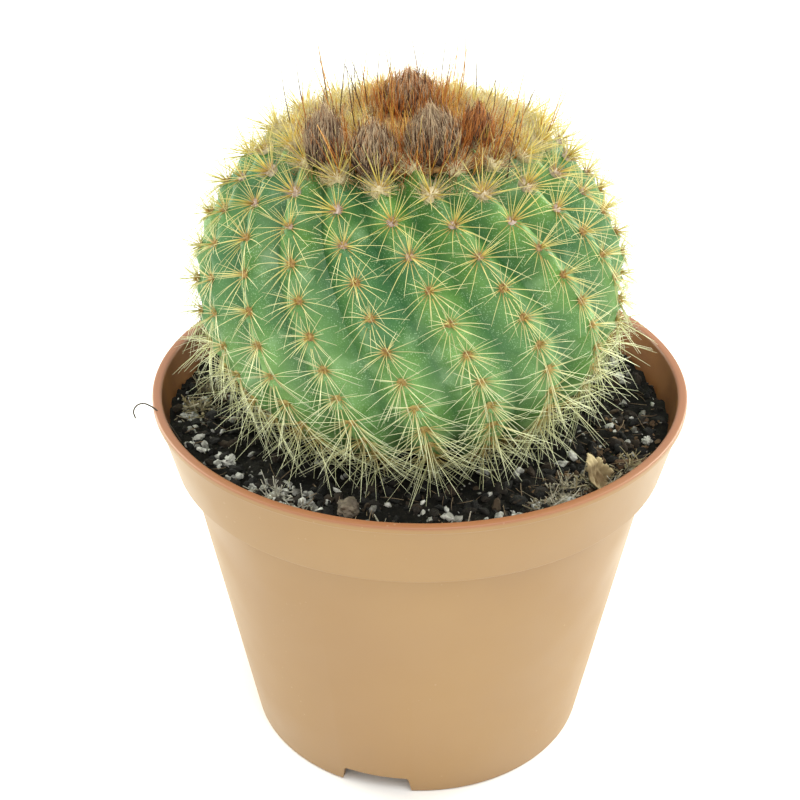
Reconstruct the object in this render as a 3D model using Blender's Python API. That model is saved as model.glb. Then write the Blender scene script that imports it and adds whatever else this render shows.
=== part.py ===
"""Potted round cactus: a ribbed globe with rows of spines and woolly buds, in a 12 cm plastic nursery pot.

Metres, +Z up. The origin is on the pot's axis, on the surface that the pot stands on, and -Y is the front.
Azimuths are in degrees from the front towards +X. Latitudes on the globe are in degrees up from its middle.
"""

import math
import random

import bmesh
import bpy
from mathutils import Matrix, Vector, noise

GAP = 0.0003  # between solids that touch

# Pot
POT_HEIGHT = 0.088
RIM_RADIUS = 0.060
LIP_WIDTH = 0.0022
LIP_HEIGHT = 0.0018
EDGE_ROUND = 0.0004
COLLAR_TOP_RADIUS = 0.0593
COLLAR_FOOT_RADIUS = 0.0558
COLLAR_FOOT_HEIGHT = 0.0717
WALL_TOP_RADIUS = 0.0532
BASE_RADIUS = 0.0403
WALL = 0.0012
FOOT_WIDTH = 0.0020
FOOT_HEIGHT = 0.0048  # from the ground to the underside of the raised floor
NOTCH_COUNT = 3
NOTCH_AZIMUTH = -13.4
NOTCH_HEIGHT = 0.0046
NOTCH_WIDTH_BELOW = 0.0180
NOTCH_WIDTH_ABOVE = 0.0150
DRAIN_RADIUS = 0.0035
DRAIN_RING_RADIUS = 0.022
DRAIN_COUNT = 6
POT_SEGMENTS = 64

# Potting mix
SOIL_HEIGHT = 0.0800
SOIL_ROUGHNESS = 0.0008
SOIL_LUMPS_PER_METRE = 110.0
SOIL_RINGS = (0.051, 0.044, 0.036, 0.028)
SOIL_SEGMENTS = 48

# Globe of the stem, measured over the rib crests
GLOBE_RADIUS = 0.0457
GLOBE_HALF_HEIGHT = 0.0384
GLOBE_CENTRE = Vector((-0.0023, 0.0, 0.1139))
RIB_COUNT = 19
RIB_STEP = 360.0 / RIB_COUNT
RIB_DEPTH = 0.0040
RIB_FADE = 0.6  # how slowly the ribs run out towards the poles
RIB_SHARPNESS = 1.5  # of the furrows: 1 is a plain V
FIRST_RIB_AZIMUTH = -4.5  # of the front rib, where it crosses TWIST_LATITUDE
TWIST_LATITUDE = 5.0
TWIST = 0.41  # degrees of azimuth lost for each degree of latitude gained
TWIST_GAIN = 0.003
ROOT_LATITUDE = -72.0
ROOT_LENGTH = 0.0175

# Spine rows: one areole every AREOLE_STEP up each rib, a little lower on each rib to the right
AREOLE_STEP = 9.4
AREOLE_TURNS = 3
FIRST_AREOLE_LATITUDE = 6.9
TOP_AREOLE_LATITUDE = 50.0
LOW_AREOLE_LATITUDE = -38.0
AREOLE_HALF_LENGTH = 1.6  # degrees of latitude
BAND_HALF_WIDTH = 0.0007
BAND_LIFT = 0.0004
BAND_THICKNESS = 0.0007
SPINE_REACH = 0.0045
SPINE_LEAN = 0.0041  # to the left and right of the crest, at the globe's middle

# Woolly crown and buds
CROWN_DIP = 0.0045  # how far the growing point is sunk
CROWN_DIP_RADIUS = 0.026
CROWN_LATITUDE = 62.0
CROWN_LIFT = 0.0007
CROWN_THICKNESS = 0.0020
BUD_SEAT = 0.0012  # from the globe's crests to a bud's foot

BUD_TAPER = 0.45
BUDS = {  # name: (x and y of the foot, radius, length, lean to the right and to the front in degrees)
    "bud_front_left": (-0.0190, -0.0175, 0.0045, 0.0115, 1.0, 7.0),
    "bud_front": (-0.0092, -0.0220, 0.0050, 0.0090, 0.0, 12.0),
    "bud_front_right": (0.0025, -0.0190, 0.0059, 0.0103, -6.0, 6.0),
    "bud_right": (0.0108, -0.0128, 0.0037, 0.0072, 5.0, 2.0),
    "bud_back": (-0.0026, 0.0050, 0.0066, 0.0084, 0.0, 0.0),
}

# Loose pieces on the potting mix
PERLITE = (  # azimuth, distance from the pot's axis, size
    (-81.0, 0.0512, 0.0034),
    (-68.0, 0.0530, 0.0028),
    (-57.5, 0.0480, 0.0036),
    (-44.0, 0.0500, 0.0024),
    (-33.0, 0.0515, 0.0030),
    (24.0, 0.0500, 0.0026),
    (37.0, 0.0520, 0.0034),
    (72.0, 0.0525, 0.0026),
    (112.0, 0.0500, 0.0034),
    (131.0, 0.0520, 0.0026),
    (149.0, 0.0485, 0.0030),
    (-118.0, 0.0505, 0.0032),
    (-136.0, 0.0525, 0.0026),
    (-152.0, 0.0490, 0.0028),
)
BARK_CHIPS = (  # azimuth, distance, length, turn
    (62.0, 0.0520, 0.0072, 20.0),
    (-96.0, 0.0440, 0.0060, 70.0),
    (122.0, 0.0440, 0.0066, -30.0),
    (-128.0, 0.0430, 0.0056, 10.0),
)
PEBBLE = (-17.8, 0.0472, 0.0058)
LEAF_FLAKE = (46.5, 0.0478, 0.0090)


def finish(name, colour, roughness):
    """A material with this colour and roughness; nothing on the plant or the pot is metal."""
    material = bpy.data.materials.new(name)
    material.use_nodes = True
    shader = material.node_tree.nodes["Principled BSDF"]
    shader.inputs["Base Color"].default_value = (*colour, 1.0)
    shader.inputs["Roughness"].default_value = roughness
    shader.inputs["Metallic"].default_value = 0.0
    material.diffuse_color = (*colour, 1.0)
    return material


def add_object(name, shape, material, smooth=True):
    """Turns a bmesh into a named object with its faces outwards."""
    bmesh.ops.recalc_face_normals(shape, faces=shape.faces)
    mesh = bpy.data.meshes.new(name)
    shape.to_mesh(mesh)
    shape.free()
    if smooth:
        mesh.shade_smooth()
        mesh.set_sharp_from_angle(angle=math.radians(35))
    mesh.materials.append(material)
    thing = bpy.data.objects.new(name, mesh)
    bpy.context.scene.collection.objects.link(thing)
    return thing


def hide_cutter(cutter):
    cutter.hide_render = True
    cutter.display_type = "WIRE"


def cut(thing, cutter):
    """Takes a cutter's shape away from a piece."""
    boolean = thing.modifiers.new(cutter.name, "BOOLEAN")
    boolean.operation = "DIFFERENCE"
    boolean.solver = "EXACT"
    boolean.object = cutter
    hide_cutter(cutter)


def turned(outline, segments):
    """Spins an outline of (radius, height) points once round the Z axis."""
    shape = bmesh.new()
    points = [shape.verts.new((radius, 0.0, height)) for radius, height in outline]
    edges = [shape.edges.new(pair) for pair in zip(points, points[1:])]
    bmesh.ops.spin(
        shape, geom=points + edges, cent=(0, 0, 0), axis=(0, 0, 1), angle=math.tau,
        steps=segments, use_merge=True,
    )
    bmesh.ops.remove_doubles(shape, verts=shape.verts, dist=0.00001)
    return shape


def around(azimuth, distance, height=0.0):
    """The point at this azimuth and distance from the pot's axis."""
    angle = math.radians(azimuth)
    return Vector((distance * math.sin(angle), -distance * math.cos(angle), height))


# Pot


def collar_radius(height):
    """The outer radius of the collar at a height."""
    share = (height - COLLAR_FOOT_HEIGHT) / (POT_HEIGHT - LIP_HEIGHT - COLLAR_FOOT_HEIGHT)
    return COLLAR_FOOT_RADIUS + share * (COLLAR_TOP_RADIUS - COLLAR_FOOT_RADIUS)


def pot_outline():
    """The pot's section, up its outside, over the lip, down its inside and out under the floor."""
    lip_inner = RIM_RADIUS - LIP_WIDTH
    floor_top = FOOT_HEIGHT + WALL
    outside = [
        (BASE_RADIUS - EDGE_ROUND, 0.0),
        (BASE_RADIUS, EDGE_ROUND),
        (WALL_TOP_RADIUS, COLLAR_FOOT_HEIGHT),
        (COLLAR_FOOT_RADIUS, COLLAR_FOOT_HEIGHT),
        (COLLAR_TOP_RADIUS, POT_HEIGHT - LIP_HEIGHT),
        (RIM_RADIUS, POT_HEIGHT - LIP_HEIGHT + EDGE_ROUND),
        (RIM_RADIUS, POT_HEIGHT - EDGE_ROUND),
        (RIM_RADIUS - EDGE_ROUND, POT_HEIGHT),
    ]
    inside = [
        (lip_inner + EDGE_ROUND, POT_HEIGHT),
        (lip_inner, POT_HEIGHT - EDGE_ROUND),
        (COLLAR_FOOT_RADIUS - WALL, COLLAR_FOOT_HEIGHT + WALL),
        (WALL_TOP_RADIUS - WALL, COLLAR_FOOT_HEIGHT),
        (BASE_RADIUS - WALL + EDGE_ROUND, floor_top),
        (0.0, floor_top),
    ]
    underside = [
        (0.0, FOOT_HEIGHT),
        (BASE_RADIUS - FOOT_WIDTH, FOOT_HEIGHT),
        (BASE_RADIUS - FOOT_WIDTH, 0.0),
    ]
    section = outside + inside + underside
    return section + section[:1]


def notch_cutter(index):
    """A block that is wider below than above, which lets water out under the foot."""
    shape = bmesh.new()
    bmesh.ops.create_cube(shape, size=1.0)
    depth = 4 * FOOT_WIDTH
    for corner in shape.verts:
        low = corner.co.z < 0
        corner.co.x *= NOTCH_WIDTH_BELOW if low else NOTCH_WIDTH_ABOVE
        corner.co.y *= depth
        corner.co.z = -NOTCH_HEIGHT if low else NOTCH_HEIGHT
    azimuth = NOTCH_AZIMUTH + index * 360.0 / NOTCH_COUNT
    cutter = add_object(f"notch_cutter_{index + 1}", shape, plastic, smooth=False)
    cutter.location = around(azimuth, BASE_RADIUS - FOOT_WIDTH / 2)
    cutter.rotation_euler.z = math.radians(azimuth)
    return cutter


def drain_cutter(index):
    shape = bmesh.new()
    bmesh.ops.create_cone(
        shape, cap_ends=True, segments=16, radius1=DRAIN_RADIUS, radius2=DRAIN_RADIUS, depth=6 * WALL
    )
    cutter = add_object(f"drain_cutter_{index + 1}", shape, plastic, smooth=False)
    cutter.location = around(index * 360.0 / DRAIN_COUNT, DRAIN_RING_RADIUS, FOOT_HEIGHT + WALL / 2)
    return cutter


def make_pot():
    pot = add_object("pot", turned(pot_outline(), POT_SEGMENTS), plastic)
    for index in range(NOTCH_COUNT):
        cut(pot, notch_cutter(index))
    for index in range(DRAIN_COUNT):
        cut(pot, drain_cutter(index))


# Stem


def twist(latitude):
    """How far round a rib has turned at a latitude, in degrees."""
    rise = latitude - TWIST_LATITUDE
    return -TWIST * rise - TWIST_GAIN * rise * rise


def globe_normal(azimuth, latitude):
    flat = math.cos(math.radians(latitude)) / GLOBE_RADIUS
    steep = math.sin(math.radians(latitude)) / GLOBE_HALF_HEIGHT
    return (around(azimuth, flat) + Vector((0, 0, steep))).normalized()


def crown_dip(flat):
    """How far the crown is sunk, at a distance from the globe's axis."""
    share = min(1.0, flat / CROWN_DIP_RADIUS)
    return CROWN_DIP * (1.0 - share * share) ** 2


def globe_point(azimuth, latitude, lift=0.0):
    """A point over the rib crests, lifted off the globe."""
    flat = GLOBE_RADIUS * math.cos(math.radians(latitude))
    height = GLOBE_HALF_HEIGHT * math.sin(math.radians(latitude))
    if latitude > 0:
        height -= crown_dip(flat)
    return GLOBE_CENTRE + around(azimuth, flat, height) + lift * globe_normal(azimuth, latitude)


def globe_height(x, y):
    """The height of the globe's upper side over a point."""
    flat = math.hypot(x - GLOBE_CENTRE.x, y - GLOBE_CENTRE.y)
    rise = GLOBE_HALF_HEIGHT * math.sqrt(1.0 - (flat / GLOBE_RADIUS) ** 2)
    return GLOBE_CENTRE.z + rise - crown_dip(flat)


def rib_lift(azimuth, latitude):
    """How far the skin lies below the crests: nothing on a crest, RIB_DEPTH in a furrow."""
    across = (azimuth - FIRST_RIB_AZIMUTH) / RIB_STEP
    off_crest = 2 * abs(across - round(across))
    fade = math.cos(math.radians(latitude)) ** RIB_FADE
    return -RIB_DEPTH * fade * off_crest**RIB_SHARPNESS


def globe(ribbed, lift, segments, rings):
    """The stem's globe with its taproot. Its meridians turn with the ribs."""
    shape = bmesh.new()
    bmesh.ops.create_uvsphere(shape, u_segments=segments, v_segments=rings, radius=1.0)
    for vert in shape.verts:
        latitude = math.degrees(math.asin(max(-1.0, min(1.0, vert.co.z))))
        azimuth = math.degrees(math.atan2(vert.co.x, -vert.co.y))
        if ribbed:
            depth = rib_lift(azimuth + FIRST_RIB_AZIMUTH, latitude)
        else:
            depth = 0.0
        root = max(0.0, (ROOT_LATITUDE - latitude) / (90.0 + ROOT_LATITUDE))
        vert.co = globe_point(azimuth + FIRST_RIB_AZIMUTH + twist(latitude), latitude, lift + depth)
        vert.co.z -= ROOT_LENGTH * root
    return shape


def make_stem():
    add_object("stem", globe(True, 0.0, 4 * RIB_COUNT, 20), skin)


# Potting mix


def soil_height(x, y):
    """The top of the potting mix, in low lumps."""
    return SOIL_HEIGHT + SOIL_ROUGHNESS * noise.noise(Vector((x, y, 0.0)) * SOIL_LUMPS_PER_METRE)


def make_soil():
    """A plug that fills the pot, with a seat pressed into it by the stem."""
    inner_base = BASE_RADIUS - WALL - GAP
    outline = [
        (0.0, FOOT_HEIGHT + WALL + GAP),
        (inner_base, FOOT_HEIGHT + WALL + GAP),
        (WALL_TOP_RADIUS - WALL - GAP, COLLAR_FOOT_HEIGHT),
        (COLLAR_FOOT_RADIUS - WALL - GAP, COLLAR_FOOT_HEIGHT + WALL + GAP),
        (collar_radius(SOIL_HEIGHT) - WALL - 2 * GAP, SOIL_HEIGHT),
    ]
    outline += [(radius, SOIL_HEIGHT) for radius in SOIL_RINGS]
    outline.append((0.0, SOIL_HEIGHT))
    shape = turned(outline, SOIL_SEGMENTS)
    for vert in shape.verts:
        if vert.co.z > SOIL_HEIGHT - GAP:
            vert.co.z = soil_height(vert.co.x, vert.co.y)
    soil = add_object("soil", shape, peat)
    seat = add_object("seat_cutter", globe(False, 2 * GAP, 2 * RIB_COUNT, 20), peat)
    cut(soil, seat)


# Spine rows


def areole_latitudes(rib):
    """The latitudes of the areoles up one rib, from the top down."""
    first = FIRST_AREOLE_LATITUDE - AREOLE_STEP * AREOLE_TURNS * rib / RIB_COUNT
    top = first + AREOLE_STEP * math.floor((TOP_AREOLE_LATITUDE - first) / AREOLE_STEP)
    count = 1 + math.floor((top - LOW_AREOLE_LATITUDE) / AREOLE_STEP)
    return [top - AREOLE_STEP * step for step in range(count)]


def band_section(rib, latitude):
    """The three corners of the band along a crest: left, right and keel."""
    azimuth = FIRST_RIB_AZIMUTH + rib * RIB_STEP + twist(latitude)
    across = around(azimuth + 90.0, BAND_HALF_WIDTH)
    top = globe_point(azimuth, latitude, BAND_LIFT + BAND_THICKNESS)
    return top - across, top + across, globe_point(azimuth, latitude, BAND_LIFT)


def make_spine_row(rib):
    """The areoles of one rib as a band along its crest, with a pair of stout spines at each."""
    latitudes = []
    for middle in areole_latitudes(rib):
        latitudes += [middle + AREOLE_HALF_LENGTH, middle, middle - AREOLE_HALF_LENGTH]
    shape = bmesh.new()
    sections = [[shape.verts.new(corner) for corner in band_section(rib, latitude)] for latitude in latitudes]
    shape.faces.new(sections[0])
    shape.faces.new(sections[-1])
    for index, (upper, lower) in enumerate(zip(sections, sections[1:])):
        sides = [
            shape.faces.new((upper[side - 1], upper[side], lower[side], lower[side - 1])) for side in range(3)
        ]
        if index % 3 == 2:
            continue  # the plain stretch between two areoles
        latitude = latitudes[index]
        azimuth = FIRST_RIB_AZIMUTH + rib * RIB_STEP + twist(latitude)
        lean = SPINE_LEAN * math.cos(math.radians(latitude)) * (1 if index % 3 else -1)
        tip = bmesh.ops.poke(shape, faces=[sides[1]])["verts"][0]
        tip.co += around(azimuth + 90.0, lean) + SPINE_REACH * globe_normal(azimuth, latitude)
    add_object(f"spine_row_{rib + 1:02d}", shape, spine, smooth=False)


# Crown


def bud_shape(x, y, radius, length, right, front):
    """A bud: widest low down, drawn in to a point, standing on the globe."""
    shape = bmesh.new()
    bmesh.ops.create_uvsphere(shape, u_segments=14, v_segments=9, radius=1.0)
    for vert in shape.verts:
        rise = (vert.co.z + 1.0) / 2.0
        taper = 1.0 - BUD_TAPER * rise**2
        vert.co.x *= radius * taper
        vert.co.y *= radius * taper
        vert.co.z = length * rise
    place = Matrix.Translation((x, y, globe_height(x, y) + BUD_SEAT))
    lean = Matrix.Rotation(math.radians(front), 4, "X") @ Matrix.Rotation(math.radians(right), 4, "Y")
    bmesh.ops.transform(shape, matrix=place @ lean, verts=shape.verts)
    return shape


def make_crown_wool():
    """The pad of wool over the growing point, open where the buds come up through it."""
    shape = bmesh.new()
    bmesh.ops.create_uvsphere(shape, u_segments=24, v_segments=30, radius=1.0)
    level = math.sin(math.radians(CROWN_LATITUDE))
    low = [vert for vert in shape.verts if vert.co.z < level]
    bmesh.ops.delete(shape, geom=low, context="VERTS")
    for vert in shape.verts:
        latitude = math.degrees(math.asin(min(1.0, vert.co.z)))
        azimuth = math.degrees(math.atan2(vert.co.x, -vert.co.y))
        vert.co = globe_point(azimuth, latitude, CROWN_LIFT)
    wool_pad = add_object("crown_wool", shape, wool)
    solidify = wool_pad.modifiers.new("thickness", "SOLIDIFY")
    solidify.thickness = CROWN_THICKNESS
    solidify.offset = 1.0
    for name, (x, y, radius, length, right, front) in BUDS.items():
        opening = bud_shape(x, y, radius + 2 * GAP, length, right, front)
        bmesh.ops.translate(opening, verts=opening.verts, vec=(0.0, 0.0, -4 * GAP))
        cut(wool_pad, add_object(f"{name}_cutter", opening, wool))


# Loose pieces


def set_down(shape, azimuth, distance, turn):
    """Turns a small piece and sets it on the potting mix, just clear of the lumps."""
    bmesh.ops.rotate(shape, verts=shape.verts, cent=(0, 0, 0), matrix=Matrix.Rotation(turn, 3, "Z"))
    spot = around(azimuth, distance)
    lowest = min(vert.co.z for vert in shape.verts)
    floor = max(soil_height(spot.x + vert.co.x, spot.y + vert.co.y) for vert in shape.verts)
    spot.z = floor + 2 * GAP - lowest
    bmesh.ops.translate(shape, verts=shape.verts, vec=spot)


def make_grain(name, azimuth, distance, size, material, flatness, seed):
    """An angular lump, such as a grain of perlite or a small stone."""
    chance = random.Random(seed)
    shape = bmesh.new()
    bmesh.ops.create_icosphere(shape, subdivisions=1, radius=size / 2)
    stretch = Vector((chance.uniform(0.85, 1.1), chance.uniform(0.8, 1.0), flatness))
    for vert in shape.verts:
        vert.co = vert.co * stretch * chance.uniform(0.88, 1.0)
    set_down(shape, azimuth, distance, chance.uniform(0.0, math.tau))
    add_object(name, shape, material, smooth=False)


def make_chip(name, azimuth, distance, length, turn):
    """A splinter of bark, thinner at one end."""
    shape = bmesh.new()
    bmesh.ops.create_cube(shape, size=1.0)
    for vert in shape.verts:
        slim = 0.6 if vert.co.x > 0 else 1.0
        vert.co *= Vector((length, length * 0.32 * slim, length * 0.18 * slim))
    bmesh.ops.bevel(
        shape, geom=shape.edges[:], offset=length * 0.03, segments=1, affect="EDGES", profile=0.5, material=-1
    )
    set_down(shape, azimuth, distance, math.radians(turn))
    add_object(name, shape, bark, smooth=False)


def make_leaf_flake(azimuth, distance, size):
    """A crumpled piece of dead leaf."""
    shape = bmesh.new()
    bmesh.ops.create_grid(shape, x_segments=4, y_segments=3, size=0.5)
    for vert in shape.verts:
        ripple = noise.noise(Vector((vert.co.x * 2.2, vert.co.y * 2.2, 0.7)))
        vert.co = Vector((vert.co.x * size, vert.co.y * size * 0.7, size * 0.35 * ripple))
    bmesh.ops.solidify(shape, geom=shape.faces[:], thickness=0.0006)
    set_down(shape, azimuth, distance, math.radians(35))
    add_object("dry_leaf_flake", shape, dead_leaf, smooth=False)


for thing in list(bpy.data.objects):
    bpy.data.objects.remove(thing, do_unlink=True)

plastic = finish("terracotta_plastic", (0.58, 0.33, 0.18), 0.45)
skin = finish("green_skin", (0.07, 0.22, 0.08), 0.55)
peat = finish("peat", (0.02, 0.015, 0.012), 0.95)
spine = finish("spine", (0.78, 0.62, 0.28), 0.5)
wool = finish("crown_wool", (0.62, 0.52, 0.28), 0.95)
bud_fur = finish("bud_fur", (0.22, 0.14, 0.09), 0.95)
perlite = finish("perlite", (0.72, 0.72, 0.68), 0.9)
bark = finish("bark", (0.12, 0.07, 0.04), 0.9)
stone = finish("stone", (0.24, 0.21, 0.18), 0.8)
dead_leaf = finish("dead_leaf", (0.42, 0.29, 0.15), 0.85)

make_pot()
make_soil()
make_stem()
make_crown_wool()
for bud_name, values in BUDS.items():
    add_object(bud_name, bud_shape(*values), bud_fur)
for rib in range(RIB_COUNT):
    make_spine_row(rib)
for number, (azimuth, distance, size) in enumerate(PERLITE, start=1):
    make_grain(f"perlite_{number:02d}", azimuth, distance, size, perlite, 0.8, number)
for number, values in enumerate(BARK_CHIPS, start=1):
    make_chip(f"bark_chip_{number}", *values)
make_grain("pebble", *PEBBLE, stone, 0.7, 0)
make_leaf_flake(*LEAF_FLAKE)
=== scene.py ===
import math
import random

import bmesh
import bpy
from mathutils import Matrix, Vector, noise


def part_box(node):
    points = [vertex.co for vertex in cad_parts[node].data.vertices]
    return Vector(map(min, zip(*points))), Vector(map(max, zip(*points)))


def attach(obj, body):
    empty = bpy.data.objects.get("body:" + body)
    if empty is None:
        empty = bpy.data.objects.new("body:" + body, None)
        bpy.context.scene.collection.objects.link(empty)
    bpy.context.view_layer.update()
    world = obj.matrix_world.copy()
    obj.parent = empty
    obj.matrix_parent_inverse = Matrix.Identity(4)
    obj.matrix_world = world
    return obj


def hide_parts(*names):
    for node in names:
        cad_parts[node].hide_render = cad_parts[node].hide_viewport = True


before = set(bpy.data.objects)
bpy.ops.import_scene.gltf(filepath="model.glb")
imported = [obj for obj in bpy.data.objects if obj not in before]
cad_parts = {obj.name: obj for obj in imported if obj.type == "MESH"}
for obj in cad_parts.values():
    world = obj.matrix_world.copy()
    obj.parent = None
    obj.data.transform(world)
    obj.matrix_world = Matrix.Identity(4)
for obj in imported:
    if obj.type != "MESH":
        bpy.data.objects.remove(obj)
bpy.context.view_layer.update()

# ------------------------------------------------------------------------------------------ The pot
# A thin injection-moulded nursery pot in terracotta-coloured plastic: a tapered wall, a collar that
# stands proud so that pots can be stacked and gripped, a thick lip, and a notched foot ring round a
# floor with six drain holes.

pot_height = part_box("pot")[1].z
rim_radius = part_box("pot")[1].x
wall = 0.0012
collar_foot = 0.0717
collar_top_radius, collar_foot_radius = 0.0593, 0.0558
wall_top_radius, base_radius = 0.0532, 0.0403
lip_width, lip_height = 0.0021, 0.0018
foot_height, foot_width = 0.0048, 0.0020
notch_azimuth, notch_height, notch_width = -13.4, 0.0046, 0.0165
drain_radius, drain_ring_radius = 0.0035, 0.022


def around(azimuth, distance, height=0.0):
    """The point at an azimuth, in degrees from the front towards +X, and a distance from the axis."""
    angle = math.radians(azimuth)
    return Vector((distance * math.sin(angle), -distance * math.cos(angle), height))


def rounded_outline(corners, steps=5):
    """A closed outline through (radius, height, rounding) corners, with each corner drawn as an arc."""
    points = []
    for index, (radius, height, rounding) in enumerate(corners):
        corner = Vector((radius, height))
        before = Vector(corners[index - 1][:2])
        after = Vector(corners[(index + 1) % len(corners)][:2])
        start = corner + (before - corner).normalized() * rounding
        end = corner + (after - corner).normalized() * rounding
        if rounding == 0:
            points.append(corner)
            continue
        for step in range(steps + 1):
            share = step / steps
            points.append(start * (1 - share) ** 2 + corner * 2 * share * (1 - share) + end * share**2)
    return points


def turned(outline, segments):
    """Spins an outline of (radius, height) points, from axis to axis, once round."""
    shape = bmesh.new()
    points = [shape.verts.new((radius, 0.0, height)) for radius, height in outline]
    edges = [shape.edges.new(pair) for pair in zip(points, points[1:])]
    bmesh.ops.spin(
        shape, geom=points + edges, cent=(0, 0, 0), axis=(0, 0, 1), angle=math.tau,
        steps=segments, use_merge=True,
    )
    bmesh.ops.remove_doubles(shape, verts=shape.verts, dist=0.000005)
    bmesh.ops.recalc_face_normals(shape, faces=shape.faces)
    return shape


def linked(name, data):
    """Puts a new object into the scene."""
    thing = bpy.data.objects.new(name, data)
    bpy.context.scene.collection.objects.link(thing)
    return thing


def finished(name, shape, materials, sharp=40.0):
    """Makes the piece: its mesh, its materials and its smooth shading."""
    mesh = bpy.data.meshes.new(name)
    shape.to_mesh(mesh)
    shape.free()
    mesh.shade_smooth()
    mesh.set_sharp_from_angle(angle=math.radians(sharp))
    for material in materials:
        mesh.materials.append(material)
    return linked(name, mesh)


def plain_mesh(piece):
    """The mesh that an object comes to once its modifiers or its curve are worked out."""
    return bpy.data.meshes.new_from_object(piece.evaluated_get(bpy.context.evaluated_depsgraph_get()))


def carve(piece, cutter_shape):
    """Takes a shape away from a piece and leaves a plain mesh."""
    cutter = finished("cutter", cutter_shape, [])
    boolean = piece.modifiers.new("carve", "BOOLEAN")
    boolean.operation = "DIFFERENCE"
    boolean.solver = "EXACT"
    boolean.object = cutter
    solid = plain_mesh(piece)
    piece.modifiers.remove(boolean)
    piece.data = solid
    bpy.data.objects.remove(cutter)


def put(tree, kind, sockets=None, **settings):
    """Adds a node, sets it up, and gives each named socket its value or its link."""
    node = tree.nodes.new(kind)
    for key, value in settings.items():
        setattr(node, key, value)
    for key, value in (sockets or {}).items():
        if isinstance(value, bpy.types.NodeSocket):
            tree.links.new(value, node.inputs[key])
        else:
            node.inputs[key].default_value = value
    return node


def mix(tree, share, first, second):
    """A colour between two others."""
    return put(tree, "ShaderNodeMix", {0: share, 6: first, 7: second}, data_type="RGBA").outputs[2]


def product_of(tree, vector, factors):
    """A vector with each of its parts times a factor."""
    return put(tree, "ShaderNodeVectorMath", {0: vector, 1: factors}, operation="MULTIPLY").outputs[0]


def product(tree, first, second):
    """One value times another."""
    return put(tree, "ShaderNodeMath", {0: first, 1: second}, operation="MULTIPLY").outputs[0]


def place_on(tree):
    """Where a point of the surface is, in the piece's own coordinates."""
    return tree.nodes.new("ShaderNodeTexCoord").outputs["Object"]


def patches_over(tree, place, scale, detail):
    """A value that drifts up and down from place to place."""
    sockets = {"Vector": place, "Scale": scale, "Detail": detail}
    return put(tree, "ShaderNodeTexNoise", sockets).outputs[0]


def stretch(tree, value, low, high, to_low=0.0, to_high=1.0):
    """Spreads a stretch of a value over another range, and clamps it there."""
    sockets = {"Value": value, "From Min": low, "From Max": high, "To Min": to_low, "To Max": to_high}
    return put(tree, "ShaderNodeMapRange", sockets).outputs["Result"]


def rgb(red, green, blue):
    """A colour given as it looks on a screen, 0 to 255, for a shader."""
    parts = (part / 255 for part in (red, green, blue))
    return (*(part / 12.92 if part < 0.04 else ((part + 0.055) / 1.055) ** 2.4 for part in parts), 1.0)


def new_group(name, inputs, outputs):
    """A shader node group with these sockets, as (name, kind) pairs."""
    tree = bpy.data.node_groups.new(name, "ShaderNodeTree")
    for label, kind in inputs:
        tree.interface.new_socket(label, in_out="INPUT", socket_type=kind)
    for label, kind in outputs:
        tree.interface.new_socket(label, in_out="OUTPUT", socket_type=kind)
    return tree, tree.nodes.new("NodeGroupInput").outputs, tree.nodes.new("NodeGroupOutput")


def placed(tree, group, **sockets):
    """Puts a node group into a material, gives its sockets their values, and returns its outputs."""
    return put(tree, "ShaderNodeGroup", sockets, node_tree=group).outputs


def new_material(name, roughness, **sockets):
    """A material, its node tree and its Principled shader."""
    material = bpy.data.materials.new(name)
    material.use_nodes = True
    shader = material.node_tree.nodes["Principled BSDF"]
    shader.inputs["Roughness"].default_value = roughness
    for key, value in sockets.items():
        shader.inputs[key.replace("_", " ").title().replace("Ior", "IOR")].default_value = value
    return material, material.node_tree, shader


def bumped(tree, shader, height, distance, strength=1.0):
    """Gives a shader the fine relief of a height."""
    bump = put(tree, "ShaderNodeBump", {"Height": height, "Distance": distance, "Strength": strength})
    tree.links.new(bump.outputs["Normal"], shader.inputs["Normal"])


COLOUR, NUMBER = "NodeSocketColor", "NodeSocketFloat"

# Uneven colour: two tones that drift into each other, with the pattern's height for relief
mottle, given, result = new_group(
    "mottle", [("Dark", COLOUR), ("Light", COLOUR), ("Scale", NUMBER), ("Detail", NUMBER)],
    [("Colour", COLOUR), ("Height", NUMBER)],
)
drift = patches_over(mottle, place_on(mottle), given["Scale"], given["Detail"])
drifted = stretch(mottle, drift, 0.3, 0.7)
mottle.links.new(mix(mottle, drifted, given["Dark"], given["Light"]), result.inputs["Colour"])
mottle.links.new(drift, result.inputs["Height"])

# Scattered specks, such as dust or pores: 1 on a speck and 0 between them
specks, given, result = new_group("specks", [("Scale", NUMBER), ("Size", NUMBER)], [("Mask", NUMBER)])
cells = put(specks, "ShaderNodeTexVoronoi", {"Vector": place_on(specks), "Scale": given["Scale"]})
dot = stretch(specks, cells.outputs["Distance"], given["Size"], product(specks, given["Size"], 0.6))
specks.links.new(dot, result.inputs["Mask"])

plastic, tree, shader = new_material("terracotta_plastic", 0.42, specular_ior_level=0.6)
base = placed(tree, mottle, Dark=rgb(147, 112, 67), Light=rgb(153, 119, 72), Scale=24.0, Detail=3.0)
# The inner wall is painted darker and browner than the outside: painted shade inside the pot
painted_inner_shade = placed(tree, mottle, Dark=rgb(104, 62, 32), Light=rgb(146, 94, 52), Scale=60.0, Detail=4.0)
where = place_on(tree)
patches = patches_over(tree, where, 45.0, 2.0)
height_here = put(tree, "ShaderNodeSeparateXYZ", {0: where}).outputs["Z"]
lip_share = stretch(tree, height_here, pot_height - 0.0008, pot_height - 0.0002, 0.0, 0.9)
radius_here = put(tree, "ShaderNodeVectorMath", {0: product_of(tree, where, (1, 1, 0))}, operation="LENGTH")
slope = (collar_top_radius - collar_foot_radius) / (pot_height - lip_height - collar_foot)
flare = product(tree, height_here, slope)
depth_in_wall = put(
    tree, "ShaderNodeMath", {0: radius_here.outputs["Value"], 1: flare}, operation="SUBTRACT"
).outputs[0]
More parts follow.
